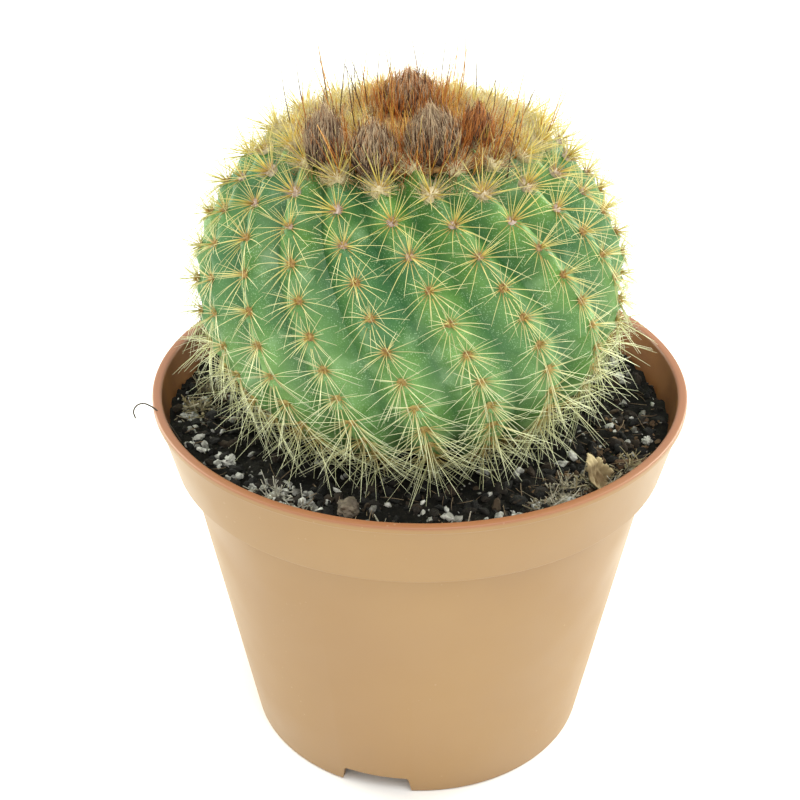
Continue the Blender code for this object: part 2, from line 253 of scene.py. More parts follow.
mid_wall = collar_foot_radius - slope * collar_foot - wall / 2
above_step = stretch(tree, height_here, collar_foot + 0.0015, collar_foot + 0.0025)
# The share of painted shade: 1 on the inner wall above the collar step, 0 on the outside
inner_shade_share = product(tree, stretch(tree, depth_in_wall, mid_wall + 0.0002, mid_wall - 0.0002), above_step)
warm = mix(tree, inner_shade_share, base["Colour"], painted_inner_shade["Colour"])
warm = mix(tree, lip_share, warm, rgb(150, 96, 62))
dust = placed(tree, specks, Scale=420.0, Size=0.12)["Mask"]
dusty = product(tree, dust, stretch(tree, patches, 0.56, 0.7, 0.0, 0.3))
tree.links.new(mix(tree, dusty, warm, rgb(190, 166, 136)), shader.inputs["Base Color"])
tree.links.new(stretch(tree, patches, 0.3, 0.7, 0.36, 0.48), shader.inputs["Roughness"])
grain = patches_over(tree, where, 2200.0, 2.0)
bumped(tree, shader, grain, 0.00003, 0.35)

pot_section = [
    (0.0, foot_height, 0.0),
    (base_radius - foot_width, foot_height, 0.0004),
    (base_radius - foot_width, 0.0, 0.0003),
    (base_radius, 0.0, 0.0006),
    (wall_top_radius, collar_foot, 0.0003),
    (collar_foot_radius, collar_foot, 0.0006),
    (collar_top_radius, pot_height - lip_height, 0.0004),
    (rim_radius, pot_height - lip_height + 0.0003, 0.0003),
    (rim_radius, pot_height, 0.0005),
    (rim_radius - lip_width, pot_height, 0.0007),
    (collar_foot_radius - wall, collar_foot + wall, 0.0005),
    (wall_top_radius - wall, collar_foot, 0.0005),
    (base_radius - wall + 0.0004, foot_height + wall, 0.0006),
    (0.0, foot_height + wall, 0.0),
]
pot = finished("pot_shell", turned(rounded_outline(pot_section), 180), [plastic])
for third in range(3):
    azimuth = notch_azimuth + third * 120.0
    notch = bmesh.new()
    bmesh.ops.create_cube(notch, size=1.0)
    for corner in notch.verts:
        x, y, z = corner.co
        flare = 1.1 if z < 0 else 0.92
        corner.co = Vector((x * notch_width * flare, y * 4 * foot_width, z * 2 * notch_height))
    sill = [edge for edge in notch.edges if all(corner.co.z > 0 for corner in edge.verts)]
    bmesh.ops.bevel(
        notch, geom=[edge for edge in sill if abs(edge.verts[0].co.x - edge.verts[1].co.x) < 1e-6],
        offset=0.0007, segments=4, affect="EDGES", profile=0.5, material=-1,
    )
    seat = Matrix.Translation(around(azimuth, base_radius - foot_width / 2))
    turn = Matrix.Rotation(math.radians(azimuth), 4, "Z")
    bmesh.ops.transform(notch, matrix=seat @ turn, verts=notch.verts)
    carve(pot, notch)
for sixth in range(6):
    drain = bmesh.new()
    bmesh.ops.create_cone(
        drain, cap_ends=True, segments=32, radius1=drain_radius, radius2=drain_radius, depth=6 * wall
    )
    spot = around(sixth * 60.0, drain_ring_radius, foot_height + wall / 2)
    bmesh.ops.translate(drain, verts=drain.verts, vec=spot)
    carve(pot, drain)
pot.data.shade_smooth()
pot.data.set_sharp_from_angle(angle=math.radians(40))
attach(pot, "root")
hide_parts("pot")

# ----------------------------------------------------------------------------------------- The stem
# One succulent globe with nineteen ribs that turn slightly as they rise. Its skin is firm and waxy,
# swollen into a low chin under each areole, and it narrows to a short taproot in the potting mix.

stem_low, stem_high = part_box("stem")
globe_middle_height = 0.1139
globe_centre = (stem_low + stem_high) / 2
globe_centre.z = globe_middle_height
globe_radius, globe_half_height = 0.0457, 0.0384
rib_count = 19
rib_step = 360.0 / rib_count
first_rib_azimuth = -4.5
areole_step, areole_turns, first_areole = 9.4, 3, 6.9
crown_dip, crown_dip_radius = 0.0045, 0.026
root_latitude, root_length = -72.0, 0.0175


def clamped(value):
    """A value kept between 0 and 1."""
    return min(1.0, max(0.0, value))


def attribute(tree, name):
    """A number that the points of the piece carry under a name."""
    return put(tree, "ShaderNodeAttribute", attribute_name=name).outputs["Fac"]


def twist(latitude):
    """How far round a rib has turned at a latitude, in degrees."""
    rise = latitude - 5.0
    return -0.41 * rise - 0.003 * rise * rise


def globe_normal(azimuth, latitude):
    """The direction straight out of the globe, with its ribs left aside."""
    flat = math.cos(math.radians(latitude)) / globe_radius
    steep = math.sin(math.radians(latitude)) / globe_half_height
    return (around(azimuth, flat) + Vector((0, 0, steep))).normalized()


def globe_point(azimuth, latitude, lift=0.0):
    """A point over the rib crests, lifted off the globe."""
    flat = globe_radius * math.cos(math.radians(latitude))
    height = globe_half_height * math.sin(math.radians(latitude))
    if latitude > 0:
        share = min(1.0, flat / crown_dip_radius)
        height -= crown_dip * (1.0 - share * share) ** 2
    return globe_centre + around(azimuth, flat, height) + lift * globe_normal(azimuth, latitude)


def crest(rib, latitude):
    """The azimuth of a rib's crest at a latitude."""
    return first_rib_azimuth + rib * rib_step + twist(latitude)


def skin_lift(across, along, latitude):
    """How far the skin lies off the globe: across goes from -0.5 to 0.5 over a rib, and along counts
    areoles. The ribs are swollen and shallow low down, and sharper towards the crown."""
    off_crest = abs(2 * across)
    tight = clamped((latitude + 15.0) / 50.0)
    depth = (0.0026 + 0.0018 * tight) * math.cos(math.radians(latitude)) ** 0.6
    wave = 0.5 - 0.5 * math.cos(math.pi * off_crest)
    crease = off_crest**1.5
    sharpness = 0.25 + 0.3 * tight
    rib = -depth * (wave * (1.0 - sharpness) + crease * sharpness)
    middle = math.cos(math.pi * across) ** 2
    chin = 0.0009 * middle * (0.5 + 0.5 * math.cos(math.tau * (along + 0.22)))
    beat = along - round(along)
    pit = -0.0004 * math.exp(-((beat / 0.13) ** 2) - (across / 0.13) ** 2)
    return rib + chin + pit


def areole_count(rib, latitude):
    """How many areoles up from the rib's first one a latitude is."""
    return (latitude - first_areole) / areole_step + areole_turns * rib / rib_count


skin_shape = bmesh.new()
bmesh.ops.create_uvsphere(skin_shape, u_segments=rib_count * 16, v_segments=200, radius=1.0)
furrow_layer = skin_shape.verts.layers.float.new("furrow")
for vert in skin_shape.verts:
    latitude = math.degrees(math.asin(max(-1.0, min(1.0, vert.co.z))))
    azimuth = math.degrees(math.atan2(vert.co.x, -vert.co.y))
    rib = round(azimuth / rib_step)
    across = azimuth / rib_step - rib
    vert[furrow_layer] = abs(2 * across)
    lift = skin_lift(across, areole_count(rib, latitude), latitude)
    turned_azimuth = azimuth + first_rib_azimuth + twist(latitude)
    place = globe_point(turned_azimuth, latitude)
    lift += 0.0004 * noise.noise(place * 90.0)
    vert.co = place + lift * globe_normal(turned_azimuth, latitude)
    vert.co.z -= root_length * max(0.0, (root_latitude - latitude) / (90.0 + root_latitude))
bmesh.ops.recalc_face_normals(skin_shape, faces=skin_shape.faces)

skin, tree, shader = new_material("green_skin", 0.5, subsurface_weight=0.06, subsurface_scale=0.002)
shader.inputs["Subsurface Radius"].default_value = (0.6, 1.0, 0.4)
where = place_on(tree)
height_here = put(tree, "ShaderNodeSeparateXYZ", {0: where}).outputs["Z"]
green = placed(tree, mottle, Dark=rgb(44, 94, 30), Light=rgb(100, 146, 60), Scale=105.0, Detail=6.0)
# Towards the bottom the skin is painted paler: painted light, as bounced up from the white floor
painted_floor_light = placed(tree, mottle, Dark=rgb(90, 142, 68), Light=rgb(156, 196, 126), Scale=90.0, Detail=6.0)
floor_light_share = stretch(tree, height_here, 0.13, 0.088, 0.0, 0.8)
body = mix(tree, floor_light_share, green["Colour"], painted_floor_light["Colour"])
wax_patches = patches_over(tree, where, 46.0, 4.0)
wax_share = product(
    tree, stretch(tree, wax_patches, 0.48, 0.62), stretch(tree, height_here, 0.096, 0.13, 0.15, 0.6)
)
body = mix(tree, wax_share, body, rgb(60, 112, 72))
furrow = attribute(tree, "furrow")
# The furrows between the ribs are painted darker: painted shade in the creases
body = mix(tree, stretch(tree, furrow, 0.4, 1.0, 0.0, 0.65), body, rgb(32, 84, 42))
# Hazy pale-green patches over the skin: painted highlights
highlight_patches = patches_over(tree, where, 130.0, 6.0)
body = mix(tree, stretch(tree, highlight_patches, 0.58, 0.72, 0.0, 0.35), body, rgb(152, 186, 140))
stipple = placed(tree, specks, Scale=2500.0, Size=0.34)["Mask"]
clouds = patches_over(tree, where, 210.0, 2.0)
stippled = product(tree, stipple, stretch(tree, clouds, 0.4, 0.62, 0.14, 0.6))
body = mix(tree, stippled, body, rgb(166, 198, 152))
tree.links.new(body, shader.inputs["Base Color"])
tree.links.new(stretch(tree, wax_patches, 0.35, 0.65, 0.42, 0.6), shader.inputs["Roughness"])
pores = patches_over(tree, where, 1100.0, 3.0)
bumped(tree, shader, pores, 0.0001, 0.5)

stem = finished("stem_skin", skin_shape, [skin])
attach(stem, "root")
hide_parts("stem")

# ----------------------------------------------------------------------------------- The spine rows
# Each rib carries a row of areoles, small cushions of felt. Up to twenty needle spines spread from
# each one, with stouter ones in the middle: golden near the crown, long and cream low down.

bud_names = ("bud_front_left", "bud_front", "bud_front_right", "bud_right", "bud_back")
buds = [(*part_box(name), name) for name in bud_names]
top_areole, low_areole = 78.0, -54.0
spine_length, spine_width = 0.0081, 0.000112
LAYERS = ("along", "tone", "age")


def as_form(name, shape, slot):
    """Keeps a shape as a mesh to be copied, with its faces in one material slot."""
    for face in shape.faces:
        face.material_index = slot
    form = bpy.data.meshes.new(name)
    shape.to_mesh(form)
    shape.free()
    return form


def strand_form(name, sides, cuts, tip, slot=0):
    """One straight strand, one unit long and one thick, to be scaled for each use."""
    shape = bmesh.new()
    bmesh.ops.create_cone(shape, cap_ends=True, segments=sides, radius1=1.0, radius2=tip, depth=1.0)
    bmesh.ops.translate(shape, verts=shape.verts, vec=(0.0, 0.0, 0.5))
    long_edges = [edge for edge in shape.edges if abs(edge.verts[0].co.z - edge.verts[1].co.z) > 0.5]
    bmesh.ops.subdivide_edges(shape, edges=long_edges, cuts=cuts, use_grid_fill=True)
    return as_form(name, shape, slot)


def dents(way, broad, fine, broad_seed, fine_seed):
    """Broad dents and finer ones over them, for a point in a direction from a lump's middle."""
    return noise.noise(way * broad + Vector(broad_seed)) + 0.5 * noise.noise(way * fine + Vector(fine_seed))


def lump_form(name, subdivisions, slot=0, knock=0.0, seed=0.0):
    """A small lump, one across, to be scaled for each use. Knock makes it angular and hollow."""
    shape = bmesh.new()
    bmesh.ops.create_icosphere(shape, subdivisions=subdivisions, radius=0.5)
    for vert in shape.verts:
        vert.co *= 1.0 + knock * dents(vert.co.normalized(), 1.4, 3.5, (seed, 0, 0), (0, seed, 0))
    return as_form(name, shape, slot)


def new_bunch():
    """An empty shape whose points know how far along a strand they are, its tone and its age."""
    bunch = bmesh.new()
    for layer in LAYERS:
        bunch.verts.layers.float.new(layer)
    return bunch


def added(bunch, form):
    """Adds a copy of a form to a bunch and returns its points."""
    first = len(bunch.verts)
    bunch.from_mesh(form)
    bunch.verts.ensure_lookup_table()
    return bunch.verts[first:]


def grow(bunch, form, root, way, length, width, bend=Vector(), tone=0.5, age=0.5):
    """Adds one strand: it leaves its root along way, and bend is how far its tip is pulled aside."""
    along, shade, years = (bunch.verts.layers.float[layer] for layer in LAYERS)
    turn = way.to_track_quat("Z", "X").to_matrix()
    for vert in added(bunch, form):
        share = vert.co.z
        ring = turn @ Vector((vert.co.x * width, vert.co.y * width, 0.0))
        vert.co = root + ring + way * (length * share) + bend * (share * share)
        vert[along], vert[shade], vert[years] = share, tone, age


def drop_lump(bunch, form, centre, size, turn, chance, rough=0.18, tone=0.5, age=0.5):
    """Adds one uneven lump."""
    along, shade, years = (bunch.verts.layers.float[layer] for layer in LAYERS)
    for vert in added(bunch, form):
        vert.co = centre + turn @ (vert.co * size * chance.uniform(1 - rough, 1 + rough))
        vert[along], vert[shade], vert[years] = 0.5, tone, age


# Colour along a strand, from its root to its tip, lighter or darker from strand to strand
strand_shade, given, result = new_group(
    "strand_shade", [("Root", COLOUR), ("Middle", COLOUR), ("Tip", COLOUR)], [("Colour", COLOUR)]
)
along = attribute(strand_shade, "along")
tone = attribute(strand_shade, "tone")
lower = mix(strand_shade, stretch(strand_shade, along, 0.04, 0.34), given["Root"], given["Middle"])
whole = mix(strand_shade, stretch(strand_shade, along, 0.35, 1.0), lower, given["Tip"])
light = stretch(strand_shade, tone, 0.0, 1.0, 0.72, 1.18)
lit = put(strand_shade, "ShaderNodeHueSaturation", {"Color": whole, "Value": light})
strand_shade.links.new(lit.outputs[0], result.inputs["Colour"])


def strand_material(name, roughness, young, old=None, crusty=False):
    """A material for strands; with old colours too, it goes over to them with the strand's age."""
    material, tree, shader = new_material(name, roughness)
    if crusty:
        bumped(tree, shader, patches_over(tree, place_on(tree), 900.0, 5.0), 0.0008)
    colour = placed(tree, strand_shade, Root=young[0], Middle=young[1], Tip=young[2])["Colour"]
    if old:
        aged = placed(tree, strand_shade, Root=old[0], Middle=old[1], Tip=old[2])["Colour"]
        age = attribute(tree, "age")
        colour = mix(tree, age, colour, aged)
    tree.links.new(colour, shader.inputs["Base Color"])
    return material


spine = strand_material(
    "spine", 0.4,
    (rgb(170, 120, 44), rgb(212, 190, 84), rgb(224, 214, 134)),
    (rgb(176, 144, 72), rgb(208, 210, 154), rgb(222, 226, 188)),
)
rust_spine = strand_material(
    "rust_spine", 0.45, (rgb(70, 30, 14), rgb(140, 64, 22), rgb(178, 108, 48))
)
felt, tree, shader = new_material("areole_felt", 0.95)
felt_ages = (  # the ages over which the felt turns from cream to white, brown and gold, with its tones
    (0.06, 0.14, rgb(170, 146, 134), rgb(206, 190, 178)),
    (0.2, 0.34, rgb(120, 88, 48), rgb(186, 156, 98)),
    (0.6, 0.85, rgb(150, 124, 66), rgb(188, 168, 106)),
)
age = attribute(tree, "age")
tones = placed(tree, mottle, Dark=rgb(190, 176, 130), Light=rgb(218, 208, 170), Scale=1600.0, Detail=2.0)
colour = tones["Colour"]
for begun, done, dark, light in felt_ages:
    tones = placed(tree, mottle, Dark=dark, Light=light, Scale=1600.0, Detail=2.0)
    colour = mix(tree, stretch(tree, age, begun, done), colour, tones["Colour"])
tree.links.new(colour, shader.inputs["Base Color"])
bumped(tree, shader, tones["Height"], 0.0003)

needle = strand_form("needle", 3, 3, 0.2)
down_hair = strand_form("down_hair", 3, 1, 0.3, slot=1)
rust_needle = strand_form("rust_needle", 3, 3, 0.2, slot=2)
felt_pad = lump_form("felt_pad", 2, slot=1)


def bud_gap(place):
    """How far a place is from the side of the nearest bud, seen from above, in metres."""
    return min(
        (place.xy - ((low + high) / 2).xy).length - (high.x - low.x) / 2 for low, high, name in buds
    )


def spread_spines(bunch, rib, latitude, chance):
    """One areole: its felt, its ring of radial spines and its few stouter central ones."""
    azimuth = crest(rib, latitude)
    outwards = globe_normal(azimuth, latitude)
    point = globe_point(azimuth, latitude, skin_lift(0.0, 0.0, latitude))
    above = globe_point(crest(rib, latitude + 1), latitude + 1)
    up = (above - globe_point(azimuth, latitude)).normalized()
    side = up.cross(outwards).normalized()
    age = clamped((56.0 - latitude) / 80.0)
    young = clamped((latitude - 36.0) / 22.0)
    low = clamped((6.0 - latitude) / 36.0)
    gap = bud_gap(point)
    if gap < -0.002:
        return

    def aside(angle):
        """The direction along the skin at an angle round the areole."""
        return side * math.cos(angle) + up * math.sin(angle)

    def leaving(flat, rise):
        """A direction that leaves the skin at an angle."""
        return (flat * math.cos(rise) + outwards * math.sin(rise)).normalized()

    basis = Matrix((side, up, outwards)).transposed()
    woolly = clamped((latitude - 43.0) / 8.0)
    pad = Vector((0.0018, 0.0020, 0.0010)) * (1.0 + 0.6 * young + 0.7 * woolly)
    drop_lump(bunch, felt_pad, point, 1.0, basis @ Matrix.Diagonal(pad), chance, 0.14, age=age)
    felt_hairs = round(24 + 30 * young + 190 * woolly)
    for _ in range(felt_hairs):
        flat = aside(chance.uniform(0.0, math.tau))
        way = (flat * chance.uniform(0.3, 1.3) + outwards).normalized()
        root = point + flat * chance.uniform(0.0001, 0.0006 + 0.0018 * woolly)
        length = chance.uniform(0.0008, 0.0015 + 0.0006 * young + 0.0020 * woolly)
        grow(bunch, down_hair, root, way, length, 0.00005, age=age)
    crowded = woolly * clamped((0.008 - gap) / 0.005)
    deep = clamped((-20.0 - latitude) / 20.0)
    high = clamped((latitude - 54.0) / 5.0)
    shoulder = clamped((latitude - 16.0) / 16.0)
    count = round(chance.randint(17, 20) * (1.0 - 0.5 * crowded) * (1.0 - 0.3 * deep))
    for index in range(count):
        angle = math.tau * (index + chance.uniform(-0.34, 0.34)) / count
        angle = -math.pi / 2 + (angle - math.pi) * (1.0 - 0.3 * low)
        flat = aside(angle)
        way = leaving(flat, math.radians(chance.uniform(10, 40) + 26 * young * (1.0 - 0.7 * high)))
        reach = 1.0 + 1.05 * low + 0.22 * shoulder + 0.1 * young - 0.8 * high
        length = spine_length * chance.uniform(0.74, 1.04) * reach
        length *= 1.0 - 0.36 * max(0.0, math.sin(angle)) * (1.0 - young)
        bend = -outwards * length * chance.uniform(0.04, 0.24) * (1.0 - young)
        bend -= up * length * chance.uniform(0.0, 0.2) * (1.0 - young)
        width = spine_width * chance.uniform(0.85, 1.15)
        form = rust_needle if latitude > 57.0 and gap < chance.uniform(0.001, 0.006) else needle
        colour_age = min(1.0, age**0.6 + low)
        grow(bunch, form, point + flat * 0.0005, way, length, width, bend, chance.random(), colour_age)
    central_count = chance.randint(6, 8) - round(2 * low) + round(10 * young * (1.0 - 0.8 * crowded))
    for _ in range(central_count):
        flat = aside(chance.uniform(0.0, math.tau))
        way = leaving(flat, math.radians(chance.uniform(42, 80)))
        reach = 1.0 + 0.8 * low + 0.2 * shoulder + 0.1 * young - 0.7 * high
        length = spine_length * chance.uniform(0.65, 1.0) * reach
        bend = up * length * chance.uniform(-0.2, 0.05 + 0.25 * young)
        form = rust_needle if latitude > 57.0 and gap < chance.uniform(0.001, 0.007) else needle
        colour_age = min(1.0, max(0.0, age**0.6 - 0.15) + low)
        grow(bunch, form, point, way, length, spine_width * 1.2, bend, chance.random(), colour_age)


for rib in range(rib_count):
    chance = random.Random(100 + rib)
    row = new_bunch()
    first = first_areole - areole_step * areole_turns * rib / rib_count
    lowest = math.ceil((low_areole - first) / areole_step)
    highest = math.floor((top_areole - first) / areole_step)
    for step in range(lowest, highest + 1):
        spread_spines(row, rib, first + step * areole_step, chance)
    spines = finished(f"spines_rib_{rib + 1:02d}", row, [spine, felt, rust_spine], sharp=80)
    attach(spines, "root")
    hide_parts(f"spine_row_{rib + 1:02d}")

# ------------------------------------------------------------------------------ The crown's wool
# The growing point is sunk in a pad of tan wool under cream down. Young bristles stand up out of it:
# golden at the sides, rust-brown among the buds, and a few long dark ones over them all.

down_count, bristle_count, long_bristle_count = 8000, 2600, 52
wool_low, wool_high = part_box("crown_wool")


def mottled_material(name, roughness, dark, light, scale, detail, relief=0.0, **sockets):
    """A material in two tones that drift into each other, with a relief that follows them."""
    material, tree, shader = new_material(name, roughness, **sockets)
    tones = placed(tree, mottle, Dark=dark, Light=light, Scale=scale, Detail=detail)
    tree.links.new(tones["Colour"], shader.inputs["Base Color"])
    if relief:
        bumped(tree, shader, tones["Height"], relief)
    return material


wool = mottled_material("crown_wool", 0.95, rgb(88, 54, 26), rgb(158, 124, 70), 700.0, 4.0, relief=0.0006)
cream_down = strand_material(
    "cream_down", 0.9,
    (rgb(150, 126, 78), rgb(196, 180, 128), rgb(222, 212, 172)),
    (rgb(80, 42, 20), rgb(150, 88, 40), rgb(188, 132, 74)),
)
golden = strand_material(
    "golden_bristle", 0.45,
    (rgb(150, 96, 26), rgb(214, 172, 58), rgb(228, 206, 112)),
    (rgb(84, 38, 16), rgb(166, 88, 30), rgb(206, 140, 62)),
)
dark_bristle = strand_material("dark_bristle", 0.5, (rgb(60, 34, 18), rgb(66, 42, 26), rgb(80, 58, 40)))


def crown_point(x, y):
    """The point on the globe's top over a place, and the direction straight out of it."""
    right, back = x - globe_centre.x, y - globe_centre.y
    latitude = math.degrees(math.acos(min(1.0, math.hypot(right, back) / globe_radius)))
    azimuth = math.degrees(math.atan2(right, -back))
    return globe_point(azimuth, latitude), globe_normal(azimuth, latitude)


def sideways(chance, spread, rise=0.0):
    """A random step to the side, with a set rise."""
    return Vector((chance.gauss(0, spread), chance.gauss(0, spread), rise))


def wobble(chance, spread):
    """A random step in any direction."""
    return Vector([chance.gauss(0, spread) for _ in range(3)])


def anywhere(chance, distance):
    """A place at a distance from the growing point, on any side of it."""
    return globe_centre + around(chance.uniform(-180.0, 180.0), distance)


pad = bmesh.new()
bmesh.ops.create_uvsphere(pad, u_segments=96, v_segments=32, radius=1.0)
pad_radius = (wool_high.x - wool_low.x) / 2 + 0.0055
for vert in pad.verts:
    x = globe_centre.x + vert.co.x * pad_radius
    y = globe_centre.y + vert.co.y * pad_radius
    ground = crown_point(x, y)[0]
    fluff = 0.0007 * noise.noise(Vector((x, y, 0.0)) * 420.0)
    vert.co = Vector((x, y, ground.z + vert.co.z * 0.0016 + fluff + 0.0002))
wool_pad = finished("crown_wool_pad", pad, [wool])
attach(wool_pad, "root")
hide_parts("crown_wool")

chance = random.Random(7)
tufts = new_bunch()
bristles = new_bunch()
long_bristles = new_bunch()
bristle = strand_form("bristle", 3, 3, 0.2)
long_bristle = strand_form("long_bristle", 3, 3, 0.5)
fine_hair = strand_form("fine_hair", 3, 2, 0.3)
for _ in range(down_count):
    distance = 0.0292 * chance.random() ** 0.36
    spot = anywhere(chance, distance)
    ground, outwards = crown_point(spot.x, spot.y)
    way = (outwards + sideways(chance, 0.4, 0.25)).normalized()
    curl = wobble(chance, 0.0007)
    length = chance.uniform(0.0012, 0.0034) * (1.0 - 0.5 * clamped((distance - 0.016) / 0.008))
    beside_bud = clamped((0.0075 - bud_gap(spot)) / 0.0045) * chance.uniform(0.5, 1.0)
    grow(tufts, fine_hair, ground, way, length, 0.00005, curl, chance.random(), beside_bud)
for _ in range(bristle_count):
    spot = anywhere(chance, 0.0262 * chance.random() ** 0.5)
    ground, outwards = crown_point(spot.x, spot.y)
    gap = bud_gap(spot)
    beside_bud = clamped((0.0070 - gap) / 0.005)
    if chance.random() > 0.45 + 0.55 * beside_bud:
        continue
    rust = clamped((0.0062 - gap) / 0.0038)
    if chance.random() < 0.14:
        rust = 1.0 - rust
    way = (outwards * 0.75 + Vector((0, 0, 0.5)) + sideways(chance, 0.22)).normalized()
    length = chance.uniform(0.0042, 0.0086) * (0.42 + 0.58 * beside_bud) * (1.0 + 0.15 * rust)
    if chance.random() < 0.02 + 0.12 * beside_bud:
        length = chance.uniform(0.0075, 0.0115)
    bend = sideways(chance, 0.0007)
    grow(bristles, bristle, ground, way, length, 0.0001, bend, chance.random(), rust)
for _ in range(long_bristle_count):
    azimuth = chance.uniform(-180.0, 180.0)
    spot = globe_centre + around(azimuth, 0.029 * math.sqrt(chance.random()))
    ground, outwards = crown_point(spot.x, spot.y)
    way = (outwards * 0.6 + Vector((0, 0, 0.65)) + sideways(chance, 0.14)).normalized()
    bend = sideways(chance, 0.001)
    bunch = bristles if chance.random() < 0.45 else long_bristles
    length = chance.uniform(0.0085, 0.0155)
    grow(bunch, long_bristle, ground, way, length, 0.00015, bend, chance.random(), 0.8)
for name, bunch, material, slot in (
    ("crown_down", tufts, cream_down, "crown_wool"),
    ("crown_bristles", bristles, golden, "spine"),
    ("crown_long_bristles", long_bristles, dark_bristle, "spine"),
):
    piece = finished(name, bunch, [material], sharp=80)
    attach(piece, "root")

# ---------------------------------------------------------------------------------------- The buds
# Five closed flower buds round the growing point. Each is an egg-shaped body of scales under grey-
# brown or rusty wool, with dark bristles that stand up past its tip.

wool_density, hair_density, tip_hairs = 3.9e6, 0.42e6, 60
bud_sunk = 0.0022
bud_scales = mottled_material(
    "bud_scales", 0.9, rgb(40, 24, 16), rgb(96, 72, 54), 500.0, 4.0, relief=0.0005
)
bud_wool = strand_material(
    "bud_wool", 0.85,
    (rgb(70, 46, 32), rgb(170, 144, 112), rgb(202, 180, 146)),
    (rgb(78, 40, 18), rgb(156, 88, 40), rgb(194, 130, 72)),
)
bud_bristle = strand_material("bud_bristle", 0.5, (rgb(40, 22, 14), rgb(66, 38, 24), rgb(112, 76, 50)))
thin_wool = strand_form("thin_wool", 3, 2, 0.35)
stiff_hair = strand_form("stiff_hair", 3, 2, 0.25, slot=1)
bud_set = {  # name: (share of rusty wool, lean to the right and to the front, in degrees)
    "bud_front_left": (0.06, 1.0, 7.0),
    "bud_front": (0.05, 0.0, 12.0),
    "bud_front_right": (0.04, -6.0, 6.0),
    "bud_right": (0.9, 5.0, 2.0),
    "bud_back": (0.5, 0.0, 0.0),
}

for low, high, name in buds:
    rust, right, front = bud_set[name]
    chance = random.Random(name)
    lean = Matrix.Rotation(math.radians(front), 3, "X") @ Matrix.Rotation(math.radians(right), 3, "Y")
    axis = lean @ Vector((0.0, 0.0, 1.0))
    height = high.z - low.z
    radius = (high.x - low.x) / 2 * 1.1
    foot = (low + high) / 2 - axis * (height / 2 + bud_sunk)
    length = height * 0.74 + bud_sunk

    def bud_point(azimuth, share, lift=0.0):
        """A point on the bud's side at a share of its length, and the direction out of it."""
        width = radius * (0.78 + 0.9 * share) * (1.0 - share**2.1) + lift
        flat = Vector((math.cos(azimuth), math.sin(azimuth), 0.0))
        return foot + lean @ (flat * width + Vector((0.0, 0.0, share * length))), lean @ flat

    body = bmesh.new()
    bmesh.ops.create_uvsphere(body, u_segments=30, v_segments=22, radius=1.0)
    for vert in body.verts:
        share = (vert.co.z + 1.0) / 2.0
        azimuth = math.atan2(vert.co.y, vert.co.x)
        round_off = min(1.0, 3.0 * math.sqrt(share))
        scale = 0.0004 * math.sin(6 * azimuth + 16 * share) - 0.0007
        place, flat = bud_point(azimuth, share, scale)
        middle = foot + axis * (share * length)
        vert.co = middle + (place - middle) * round_off if 0.001 < share < 0.999 else middle
    core = new_bunch()
    core.from_mesh(as_form("bud_body", body, 2))
    for _ in range(round(wool_density * math.tau * radius * length)):
        azimuth = chance.uniform(0.0, math.tau)
        share = chance.random() ** 0.85 * 0.95
        root, flat = bud_point(azimuth, share, -0.0006)
        way = (axis + flat * chance.uniform(0.15, 0.7) * (1.0 - 0.8 * share)).normalized()
        bend = -flat * (0.0004 + 0.0012 * share) + wobble(chance, 0.0003)
        strand_rust = 1.0 if chance.random() < rust else 0.0
        reach = chance.uniform(0.0022, 0.0038)
        grow(core, thin_wool, root, way, reach, 0.000072, bend, chance.random(), strand_rust)
    for _ in range(round(hair_density * math.tau * radius * length)):
        azimuth = chance.uniform(0.0, math.tau)
        share = chance.random() * 0.8
        root, flat = bud_point(azimuth, share, -0.0004)
        way = (axis + flat * chance.uniform(0.1, 0.5) * (1.0 - share)).normalized()
        reach = chance.uniform(0.0032, 0.0055)
        grow(core, stiff_hair, root, way, reach, 0.000095, -flat * 0.0008, chance.random())
    for _ in range(tip_hairs):
        root, flat = bud_point(chance.uniform(0.0, math.tau), chance.uniform(0.62, 0.95), -0.0003)
        way = (axis + flat * chance.uniform(-0.2, 0.25)).normalized()
        reach = chance.uniform(0.0022, 0.0046)
        grow(core, stiff_hair, root, way, reach, 0.0001, -flat * 0.0005, chance.random())
    bud = finished(f"{name}_furred", core, [bud_wool, bud_bristle, bud_scales], sharp=80)
    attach(bud, "root")
    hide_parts(name)

# ------------------------------------------------------------------------------- The potting mix
# Dark peat with coarse crumbs, root threads, shredded moss and white perlite, filled to 8 mm under
# the rim. The stem sits in a hollow in it.

soil_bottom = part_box("soil")[0].z
soil_level = 0.0800
collar_slope = 0.241
soil_edge = collar_foot_radius + (soil_level - collar_foot) * collar_slope - wall - 0.0001
crumb_count, brown_crumb_count, perlite_count, thread_count = 2700, 260, 420, 320


def soil_height(x, y):
    """The top of the potting mix: broad heaps, then lumps, then crumbs."""
    spot = Vector((x, y, 0.0))
    banked = 0.0022 * math.exp(-(((spot - around(-72.0, 0.056)).length / 0.02) ** 2))
    heaps = 0.0014 * noise.noise(spot * 60.0) + banked
    lumps = 0.0026 * (abs(noise.noise(spot * 170.0 + Vector((3.0, 1.0, 0.0)))) - 0.2)
    crumbs = 0.0010 * noise.noise(spot * 480.0 + Vector((7.0, 5.0, 2.0)))
    return soil_level + heaps - lumps + crumbs


def stem_underside(x, y):
    """The height of the stem's underside over a place, with its taproot."""
    flat = min(globe_radius, math.hypot(x - globe_centre.x, y - globe_centre.y))
    latitude = -math.degrees(math.acos(flat / globe_radius))
    root = root_length * max(0.0, (root_latitude - latitude) / (90.0 + root_latitude))
    return globe_centre.z - globe_half_height * math.sqrt(1.0 - (flat / globe_radius) ** 2) - root


peat, tree, shader = new_material("peat", 0.96, specular_ior_level=0.2)
fibres = placed(tree, mottle, Dark=rgb(6, 7, 5), Light=rgb(25, 23, 17), Scale=520.0, Detail=7.0)
ash = placed(tree, specks, Scale=760.0, Size=0.15)["Mask"]
ashen = mix(tree, product(tree, ash, 0.2), fibres["Colour"], rgb(120, 112, 98))
tree.links.new(ashen, shader.inputs["Base Color"])
bumped(tree, shader, fibres["Height"], 0.0009)

